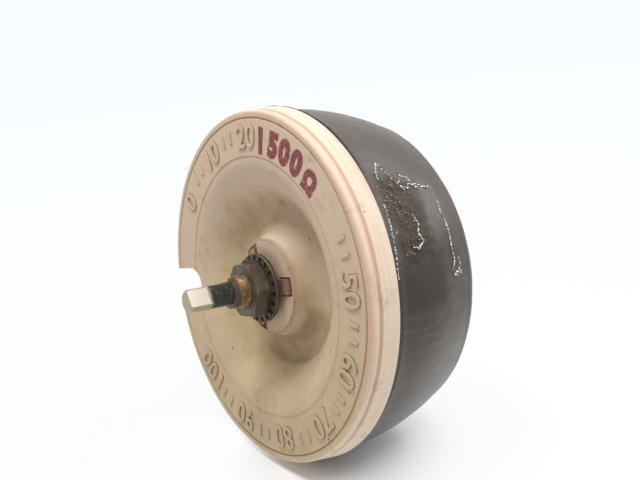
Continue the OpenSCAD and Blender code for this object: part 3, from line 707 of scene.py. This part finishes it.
class RHEOSTAT_OT_enamel(Maker, bpy.types.Operator):
    """Pour the dark enamel over the wound ring, leaving the track bare"""

    bl_idname = "rheostat.enamel"
    bl_label = "Enamel"

    def execute(self, context):
        s = self.settings.enamel
        profile = ring_profile(s)
        turns = 720
        half_wound = s.wound / 2 + math.radians(1.0)

        def place(i, j):
            """Swells the section unevenly, thickens its edge over the top, and sinks it at the track."""
            angle = 2 * math.pi * i / turns
            signed = math.remainder(angle, 2 * math.pi)
            radius, depth, out_r, out_d = profile[j]
            spot = Vector(at(radius, angle, depth))
            lump = noise.noise(spot * 0.055) * 0.16 + noise.noise(spot * 0.21 + Vector((9, 4, 2))) * 0.05
            lump += blisters(signed, depth, radius, spot)
            lip = ease(signed, 0.30, 0.75) * ease(signed, 2.75, 2.35)
            lip *= ease(depth, s.front + 1.1, s.front + 0.5)
            lump += lip * (0.62 + 0.18 * noise.noise(spot * 0.35)) * (radius > 45)
            bared = ease(half_wound - abs(signed), 0.0, 0.02)
            ragged = noise.noise(Vector((angle * 30, 3.3, 0.0))) * 0.16
            bared *= ease(radius, s.track_in + ragged, s.track_in + 0.12 + ragged)
            bared *= ease(radius, s.track_out + ragged, s.track_out - 0.12 + ragged) * (depth > s.back - 0.6)
            lump *= 1 - bared
            hold = 1.0 if (depth > s.front + 1.5 or lip) and radius > s.inner + 0.01 else 0.0
            radius += out_r * lump * hold
            depth += out_d * lump * hold - bared * (s.coat + 0.25)
            return at(radius, angle, min(depth, s.back + 0.3))

        points, faces = swept(turns, len(profile), place, closed_columns=True)
        coat = piece("enamel_body", points, faces, enamel_finish(s))
        sharpen(coat, 50)
        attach(coat, "body")
        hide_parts("enamel_coat")
        return {"FINISHED"}


def sharpen(thing, degrees):
    """Keeps edges steeper than an angle crisp under smooth shading."""
    thing.data.set_sharp_from_angle(angle=math.radians(degrees))


def wall(depth):
    """Radius of the ring's outer wall: flared where it meets the base, rounding in towards the back."""
    widest, turns_in = 49.78, 12
    flare = max(0.0, turns_in - depth) / 3.6
    drop = max(0.0, depth - turns_in) / 26
    return widest + 0.52 * flare**1.5 - 4.68 * drop**2.2


def ring_profile(s):
    """Radius, depth and outward direction round the ring's section, in fine steps.

    They run up the outer wall, over the shoulder and the track, round the edge and down the hole.
    """
    lip, wall_end, steps = 1.2, 38.2, 46
    depths = [s.front + lip * k / 7 for k in range(7)]
    depths += [s.front + lip + (wall_end - s.front - lip) * k / steps for k in range(steps)]
    section = [(wall(depth), depth) for depth in depths]
    shoulder, edge, tilt = 7.5, 2.6, math.radians(21)
    for k in range(15):
        a = tilt + (math.pi / 2 - tilt) * k / 14
        section.append((38.0 + shoulder * math.cos(a), s.back - shoulder + shoulder * math.sin(a)))
    across = [s.track_out + 0.14 - 0.06 * k for k in range(5)] + [37.5, 36.6, 35.3, 34.0, 33.1]
    across += [s.track_in + 0.10 - 0.06 * k for k in range(5)]
    section += [(radius, s.back) for radius in across]
    for k in range(9):
        a = math.pi / 2 + math.pi / 2 * k / 8
        section.append((s.inner + edge + edge * math.cos(a), s.back - edge + edge * math.sin(a)))
    section += [(s.inner, depth) for depth in (36.0, 30.0, 24.0, 18.0, 12.0, s.front)]
    section.append(((s.inner + s.outer) / 2, s.front))
    out = []
    for k, (r, d) in enumerate(section):
        (ra, da), (rb, db) = section[k - 1], section[(k + 1) % len(section)]
        size = math.hypot(rb - ra, db - da) or 1.0
        out.append((r, d, (db - da) / size, -(rb - ra) / size))
    return out


# Angle about the shaft in degrees and depth in millimetres along the edges where the boiled glaze ran
RUNS = (
    ((30.5, 12.5), (34, 13.5), (37, 15), (35, 16), (32.5, 17), (30, 18), (28.5, 19), (27, 20)),
    ((29, 18.5), (32, 21), (31.5, 23), (30, 23.5), (29, 24), (29, 25.5), (28, 27.5), (28, 30)),
    ((23, 31), (19, 30.5), (16, 31.5), (11, 31.5), (7, 31), (3.5, 31.5), (0.5, 30), (-1.5, 31)),
    ((19, 19), (16, 20), (13.5, 19), (11, 20), (9, 18), (9.5, 16)),
    ((23, 11), (16, 10.5), (12, 10), (6, 9.5), (1, 9)),
    ((4, 33.5), (2, 34), (0.5, 33), (-1, 34), (0, 31.5), (-2, 32)),
    ((28.5, 19.5), (27.5, 21.5), (29.5, 22.5), (28, 24.5), (27, 26.5)),
)

# Angle about the shaft in degrees, depth, spread and number of the crumbs in each cluster
CRUMBS = (
    (28, 15, 2.5, 15), (26, 14, 2.5, 9), (22.5, 15.5, 2.5, 16), (22.5, 17.5, 2, 6), (19, 19, 2.5, 6),
    (14.5, 20, 2.5, 5), (11, 19.5, 2.5, 5), (9, 16.5, 2, 5), (28, 40.5, 2, 2),
)


def blisters(angle, depth, radius, spot):
    """Height of the glaze's lumps over the patch where it has boiled."""
    turn = math.degrees(angle)
    if not (-12 < turn < 46 and depth < 36 and radius > 44):
        return 0.0
    inside = ease(turn, 2, 9) * ease(turn, 33, 27) * ease(depth, 10, 13) * ease(depth, 28, 20)
    rough = noise.fractal(spot * 0.55, 0.7, 2.1, 4) * 0.26 + noise.noise(spot * 1.3) * 0.10
    flow = ease(turn, -4, 3) * ease(turn, 31, 27) * ease(depth, 12, 16) * ease(depth, 31.6, 30.6)
    return inside * (rough - 0.10) - flow * 0.18


class RHEOSTAT_OT_glaze_runs(Maker, bpy.types.Operator):
    """Lay the beaded edges, whose pale chipped spots carry painted glints, and the crumbs where the glaze
    boiled and ran
    """

    bl_idname = "rheostat.glaze_runs"
    bl_label = "Glaze Runs"

    def execute(self, context):
        s = self.settings.enamel
        points, faces = [], []
        for k, run in enumerate(RUNS):
            for i, (turn, depth) in enumerate(path_through(run, 0.16)):
                turn += noise.noise(Vector((i * 0.21, k * 5.0, 0.0))) * 0.6
                depth += noise.noise(Vector((i * 0.33, k * 5.0, 4.0))) * 0.5
                size = 0.17 + 0.26 * noise.noise(Vector((i * 0.35, k * 3.0, 7.0)))
                if size > 0.12:
                    lump(points, faces, turn, depth, min(size, 0.30), i + 97 * k)
        runs = piece("glaze_beads", points, faces, bead_finish(s), smooth=False)
        points, faces = [], []
        for k, (turn, depth, spread, count) in enumerate(CRUMBS):
            for i in range(count):
                a, b, c = (noise.cell(Vector((i + 0.5, k + 0.5, n + 0.5))) for n in (0, 4, 9))
                spot = (turn + (a - 0.5) * spread, depth + (b - 0.5) * spread)
                lump(points, faces, *spot, 0.10 + 0.30 * c * c, i + 31 * k)
        stone = stone_finish("glaze_crumb", s.bare, s.crumb, size=0.5, roughness=0.45)
        crumbs = piece("glaze_crumbs", points, faces, stone, smooth=False)
        for thing in (runs, crumbs):
            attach(thing, "body")
        return {"FINISHED"}


def lump(points, faces, turn, depth, size, seed):
    """Adds a small uneven bead on the ring's outer wall."""
    middle = Vector(at(wall(depth) + 0.02, math.radians(turn), depth))
    start, rows, around = len(points), 4, 6
    for i in range(rows):
        tall = math.pi * (i + 0.5) / rows
        for j in range(around):
            side = 2 * math.pi * j / around
            way = Vector((math.sin(tall) * math.cos(side), math.cos(tall), math.sin(tall) * math.sin(side)))
            uneven = 0.75 + 0.5 * noise.noise(way * 1.3 + Vector((seed, 0.0, 0.0)))
            points.append(middle + way * size * uneven)
    for i in range(rows - 1):
        for j in range(around):
            a, b = start + i * around + j, start + i * around + (j + 1) % around
            faces.append((a, b, b + around, a + around))
    faces.append(tuple(start + j for j in range(around)))
    faces.append(tuple(start + (rows - 1) * around + j for j in reversed(range(around))))


def path_through(knots, pace, radius=49):
    """Points every pace millimetres along a line of knots, each a turn in degrees and a depth."""
    points = []
    for (a0, d0), (a1, d1) in zip(knots, knots[1:]):
        far = math.hypot(math.radians(a1 - a0) * radius, d1 - d0)
        count = max(1, round(far / pace))
        points += [(a0 + (a1 - a0) * i / count, d0 + (d1 - d0) * i / count) for i in range(count)]
    return points


class RHEOSTAT_OT_winding(Maker, bpy.types.Operator):
    """Lay the fine turns of resistance wire across the bared track"""

    bl_idname = "rheostat.winding"
    bl_label = "Winding"

    def execute(self, context):
        s = self.settings.enamel
        steps, crown = 6, 0.16
        rows = s.wires * steps
        across = [s.track_in + past for past in (-0.5, -0.1, 0.5)] + [35.3]
        across += [s.track_out + past for past in (-0.5, 0.1, 0.5)]

        def place(i, j):
            angle = -s.wound / 2 + s.wound * i / rows
            phase = (i % steps) / steps * math.pi
            drop = 0.25 if j in (0, len(across) - 1) else 0.0
            gap = 0.03 * noise.noise(Vector((angle * 60, j * 0.6, 1.0)))
            depth = s.back - s.coat - crown * (1 - abs(math.sin(phase))) - drop + gap - 0.03
            return at(across[j], angle, depth)

        points, faces = swept(rows + 1, len(across), place, closed_rows=False)
        turns = piece("wire_turns", points, faces, wire_finish(self.settings.metal))
        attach(turns, "body")
        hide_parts("resistance_winding")
        return {"FINISHED"}


class RHEOSTAT_OT_bushing(Maker, bpy.types.Operator):
    """Cut the thread and keyway of the brass bushing"""

    bl_idname = "rheostat.bushing"
    bl_label = "Threaded Bushing"

    def execute(self, context):
        s = self.settings.metal
        low, high = box_of("bushing")
        nose, back, flange = low.y, high.y, high.z
        major, neck, bore, around, along = 4.76, 4.46, 3.24, 120, 84
        half_key, key_depth = 0.8, 0.7
        rest = (
            (neck, 5.1), (neck, back - 1.7), (neck, back - 1.6), (flange, back - 1.6), (flange, back - 0.3),
            (flange - 0.3, back), (bore + 0.2, back), (bore, back - 0.2), (bore, 0.0), (bore, nose + 0.3),
            (bore + 0.3, nose),
        )

        def place(i, j):
            angle = 2 * math.pi * i / around
            if j >= along:
                radius, depth = rest[j - along]
                return at(radius, angle, depth)
            depth = nose + (5.0 - nose) * j / (along - 1)
            phase = (depth / s.pitch - angle / (2 * math.pi)) % 1.0
            radius = major - s.thread * ease(abs(2 * phase - 1), 0.12, 0.88)
            radius -= 0.35 * (1 - ease(depth - nose, 0.0, 0.5))
            if abs(math.remainder(angle - math.pi / 2, 2 * math.pi)) * major < half_key:
                radius = min(radius, major - key_depth)
            return at(radius, angle, depth)

        points, faces = swept(around, along + len(rest), place, closed_columns=True)
        brass = metal_finish(
            "bushing_brass", s.brass, 0.26, dirt=(0.10, 0.05, 0.03), dirty=0.85, brushed="turned"
        )
        turned = piece("threaded_bushing", points, faces, brass)
        sharpen(turned, 35)
        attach(turned, "body")
        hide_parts("bushing")
        dress(brass, "thrust_washer")
        return {"FINISHED"}


class RHEOSTAT_OT_nut_stack(Maker, bpy.types.Operator):
    """Blacken and grease the nut, the washers and the locating plate"""

    bl_idname = "rheostat.nut_stack"
    bl_label = "Nut and Washers"

    def execute(self, context):
        s = self.settings.metal
        m = self.settings.mineral
        black = metal_finish("black_nut", s.nut, 0.38, dirt=(0.105, 0.07, 0.05), dirty=0.62, grain=0.03)
        dull = metal_finish("black_washer", s.washer, 0.45, dirt=s.rust, dirty=0.4, grain=0.03)
        rusty = metal_finish("rusty_plate", s.plate, 0.55, dirt=(0.28, 0.15, 0.10), dirty=0.6, grain=0.05)
        mica = stone_finish("mica_sheet", m.mica, m.mica_shade, size=0.8, roughness=0.35)
        dress(black, "mounting_nut", "retaining_ring")
        dress(dull, "flat_washer", "lock_washer")
        dress(rusty, "locating_plate")
        dress(mica, "mica_washer")
        return {"FINISHED"}


class RHEOSTAT_OT_shaft(Maker, bpy.types.Operator):
    """Polish the shaft and its flat"""

    bl_idname = "rheostat.shaft"
    bl_label = "Shaft"

    def execute(self, context):
        s = self.settings.metal
        f = Finish("bright_shaft", Metallic=1.0)
        marks = f.speckle(0.14, detail=2, at=f.point(f.radius, f.depth, f.angle * 0.5))
        grease = f.step(f.depth + f.speckle(2.2, detail=4) * 1.6, -16.0, -15.2) * f.step(f.depth, -3, -6)
        faces = (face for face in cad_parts["shaft"].data.polygons if face.center.y < -17 * MM)
        way = max(faces, key=lambda face: face.area * (1 - abs(face.normal.y))).normal
        flat_at = 2.175
        flat = f.band(f.x * way.x + f.z * way.z, flat_at, 0.04, 0.25)
        # The flat is ground steel, painted much brighter than the rest of the shaft to stand in for its
        # highlight.
        tone = f.pick(marks * 0.35, f.pick(flat, s.bare_steel, s.steel), s.turned_steel)
        glints = f.step(f.speckle(0.8, detail=3, roughness=0.7), 0.62, 0.68) * grease
        f.set(
            Base_Color=f.pick(glints * 0.7, f.pick(grease, tone, s.grease), s.glint),
            Metallic=0.55 - grease * 0.35,
            Roughness=0.38 + marks * 0.14 - grease * 0.22,
            Normal=f.relief(marks + f.speckle(1.2, detail=3) * grease * 3, 0.03),
        )
        dress(f, "shaft")
        return {"FINISHED"}


class RHEOSTAT_OT_terminals(Maker, bpy.types.Operator):
    """Finish the terminal strips, their screws and the collector ring"""

    bl_idname = "rheostat.terminals"
    bl_label = "Terminals"

    def execute(self, context):
        s = self.settings.metal
        strip = metal_finish(
            "terminal_brass", s.brass, 0.34, dirt=(0.10, 0.06, 0.03), dirty=0.35, brushed="rolled"
        )
        plated = metal_finish("plated_steel", s.plated, 0.32, dirt=(0.10, 0.075, 0.055), dirty=0.55)
        collector = metal_finish(
            "collector_brass", s.brass, 0.22, dirt=(0.08, 0.05, 0.03), dirty=0.2, brushed="turned"
        )
        dress(
            strip, "end_terminal_left", "end_terminal_right", "centre_terminal", "collector_rivets",
            "brush_holder",
        )
        dress(
            plated, "terminal_screws", "terminal_washers", "terminal_nuts", "stop_plate", "drive_pin",
            "collector_spring", "arm_screws",
        )
        dress(collector, "collector_ring")
        return {"FINISHED"}


class RHEOSTAT_OT_contact_arm(Maker, bpy.types.Operator):
    """Finish the hub, the spring leaves, the brushes and the shunt"""

    bl_idname = "rheostat.contact_arm"
    bl_label = "Contact Arm"

    def execute(self, context):
        s = self.settings.metal
        m = self.settings.mineral
        leaf = metal_finish(
            "spring_bronze", s.bronze, 0.30, dirt=(0.10, 0.05, 0.03), dirty=0.3, brushed="rolled"
        )
        hub = stone_finish("white_ceramic", m.hub, m.hub_shade, size=0.6, roughness=0.6)
        graphite = stone_finish("graphite", m.graphite, m.graphite_shade, size=0.3, roughness=0.45)
        braid = metal_finish("copper_braid", s.copper, 0.35, dirt=(0.05, 0.04, 0.03), dirty=0.3)
        dress(leaf, "contact_arm", "backing_leaf")
        dress(hub, "insulating_hub")
        dress(graphite, "contact_brush", "collector_brush")
        dress(braid, "brush_shunt")
        return {"FINISHED"}


# Where the camera stands and looks, in millimetres, and its lens
EYE = (185.2, -116.5, 62.2)
TARGET = (29.4, 0.0, 19.2)
SENSOR = 36.0
LENS = 44.83125

# Where the rim of the base rests on the floor, and how far the floor reaches
RESTS_AT = (0, 8.0, -50.85)
FLOOR = 1400

# Tints: the floor's own light near the part, the sky to the camera, the sky as metal and glaze mirror
# it, and the little light that the sky gives
LIT = (0.985, 1.0, 1.0)
SKY = (0.935, 0.99, 1.0)
MIRRORED = (0.94, 0.90, 0.86)
DIM = (1.0, 0.985, 0.96)

# Name, place, target, size and power of each lamp
LAMPS = (
    ("top", (0, -180, 460), (0, 10, 0), 160, 1.25),
    ("left", (-220, -150, 420), (0, 10, 0), 160, 0.65),
    ("back", (200, 330, 330), (0, 10, 0), 420, 2.1),
    ("key", (330, -150, 420), (0, 10, 0), 120, 0.40),
    ("glint", (300, -60, 300), (40, 20, 20), 36, 0.12),
)


class RHEOSTAT_OT_stage(Maker, bpy.types.Operator):
    """Set the floor, the backdrop, the lamps and the camera"""

    bl_idname = "rheostat.stage"
    bl_label = "Stage"

    def execute(self, context):
        s = self.settings.stage
        spin = Matrix.Rotation(-s.turn, 4, (0, -1, 0))
        scene = bpy.context.scene
        scene.view_settings.view_transform = "Standard"

        camera = linked("camera", bpy.data.cameras.new("camera"))
        camera.data.sensor_width = SENSOR
        camera.data.sensor_fit = "HORIZONTAL"
        camera.data.lens = LENS
        camera.data.clip_start = 0.005
        camera.matrix_world = spin @ aimed(EYE, TARGET)
        scene.camera = camera

        paper = Finish("paper", Roughness=0.9, Specular_IOR_Level=0.1, Base_Color=s.paper)
        floor = disc_sheet("floor", FLOOR, paper)
        tilted = Matrix.Translation(Vector(RESTS_AT) * MM) @ Matrix.Rotation(s.lean, 4, "X")
        floor.matrix_world = spin @ tilted
        # Round where the rim rests, the floor's glow is taken away in a patch shaped to the contact shadow,
        # so that mostly the lamps' shading shows there; further out the floor glows evenly.
        near, far = distance(paper, 13, 13), distance(paper, 0, 0)
        fade = paper.step(near, 14, 37) * 0.85 + paper.step(far, 60, 200) * 0.10
        lit, hazy = (paper.node("ShaderNodeEmission", {}, tint) for tint in (LIT, SKY))
        glow = paper.node("ShaderNodeMixShader", {}, paper.step(far, 150, 1250), lit, hazy)
        shaded = Term(paper, paper.surface.outputs[0])
        paper.feed(paper.output.inputs[0], paper.node("ShaderNodeMixShader", {}, fade + 0.05, shaded, glow))

        sky(scene)
        for name, place, target, size, power in LAMPS:
            lamp(name, spin @ aimed(place, target), size, power)
        return {"FINISHED"}


def aimed(place, target):
    """Where a camera or a lamp stands, both points in millimetres, and its turn towards its target."""
    here, there = Vector(place), Vector(target)
    return Matrix.Translation(here * MM) @ (there - here).to_track_quat("-Z", "Y").to_matrix().to_4x4()


def distance(finish, across, back):
    """How far a point of the floor lies from a spot across and back from where the rim rests."""
    return ((finish.x - across) ** 2 + (finish.depth - back) ** 2) ** 0.5


def disc_sheet(name, radius, finish):
    """A round sheet in many rings, centred on its own origin."""
    rings, around = 24, 64

    def place(i, j):
        angle, out = 2 * math.pi * i / around, radius * (j / (rings - 1))
        return (out * math.cos(angle), out * math.sin(angle), 0.0)

    return piece(name, *swept(around, rings, place), finish, merge=0.001)


def sky(scene):
    """A plain soft sky: pale to the camera, warmer to what mirrors it, and dim as a light."""
    scene.world = bpy.data.worlds.new("soft_sky")
    shader = Shader(scene.world, "ShaderNodeOutputWorld")

    def shine(tint, strength):
        return shader.node("ShaderNodeBackground", {}, tint, strength)

    def where(kind, otherwise, here):
        ray = shader.node("ShaderNodeLightPath", output=kind)
        return shader.node("ShaderNodeMixShader", {}, ray, otherwise, here)

    light = where("Is Glossy Ray", shine(DIM, 0.14), shine(MIRRORED, 1.0))
    shader.feed(shader.output.inputs[0], where("Is Camera Ray", light, shine(SKY, 1.0)))


def lamp(name, placing, size, power):
    """A square soft lamp of a size in millimetres."""
    made = linked(name, bpy.data.lights.new(name, "AREA"))
    made.data.size = size * MM
    made.data.energy = power
    made.matrix_world = placing


OPERATORS = (
    RHEOSTAT_OT_ceramic_base,
    RHEOSTAT_OT_numerals,
    RHEOSTAT_OT_stamp,
    RHEOSTAT_OT_enamel,
    RHEOSTAT_OT_glaze_runs,
    RHEOSTAT_OT_winding,
    RHEOSTAT_OT_bushing,
    RHEOSTAT_OT_nut_stack,
    RHEOSTAT_OT_shaft,
    RHEOSTAT_OT_terminals,
    RHEOSTAT_OT_contact_arm,
    RHEOSTAT_OT_stage,
)


class RHEOSTAT_PT_panel(bpy.types.Panel):
    """Lists the pieces of the rheostat"""

    bl_idname = "RHEOSTAT_PT_panel"
    bl_label = "Wirewound Rheostat"
    bl_space_type = "VIEW_3D"
    bl_region_type = "UI"
    bl_category = "Rheostat"

    def draw(self, context):
        for operator in OPERATORS:
            self.layout.operator(operator.bl_idname)
        for group, kind in GROUPS.items():
            box = self.layout.box()
            box.label(text=group.title())
            for name in kind.__annotations__:
                box.prop(getattr(context.scene.rheostat, group), name)


CLASSES = (*GROUPS.values(), RheostatSettings, *OPERATORS, RHEOSTAT_PT_panel)


def register():
    for kind in CLASSES:
        bpy.utils.register_class(kind)
    bpy.types.Scene.rheostat = PointerProperty(type=RheostatSettings)


def unregister():
    del bpy.types.Scene.rheostat
    for kind in reversed(CLASSES):
        bpy.utils.unregister_class(kind)


def main():
    register()
    for operator in OPERATORS:
        getattr(bpy.ops.rheostat, operator.bl_idname.split(".")[1])()


if __name__ == "__main__":
    main()
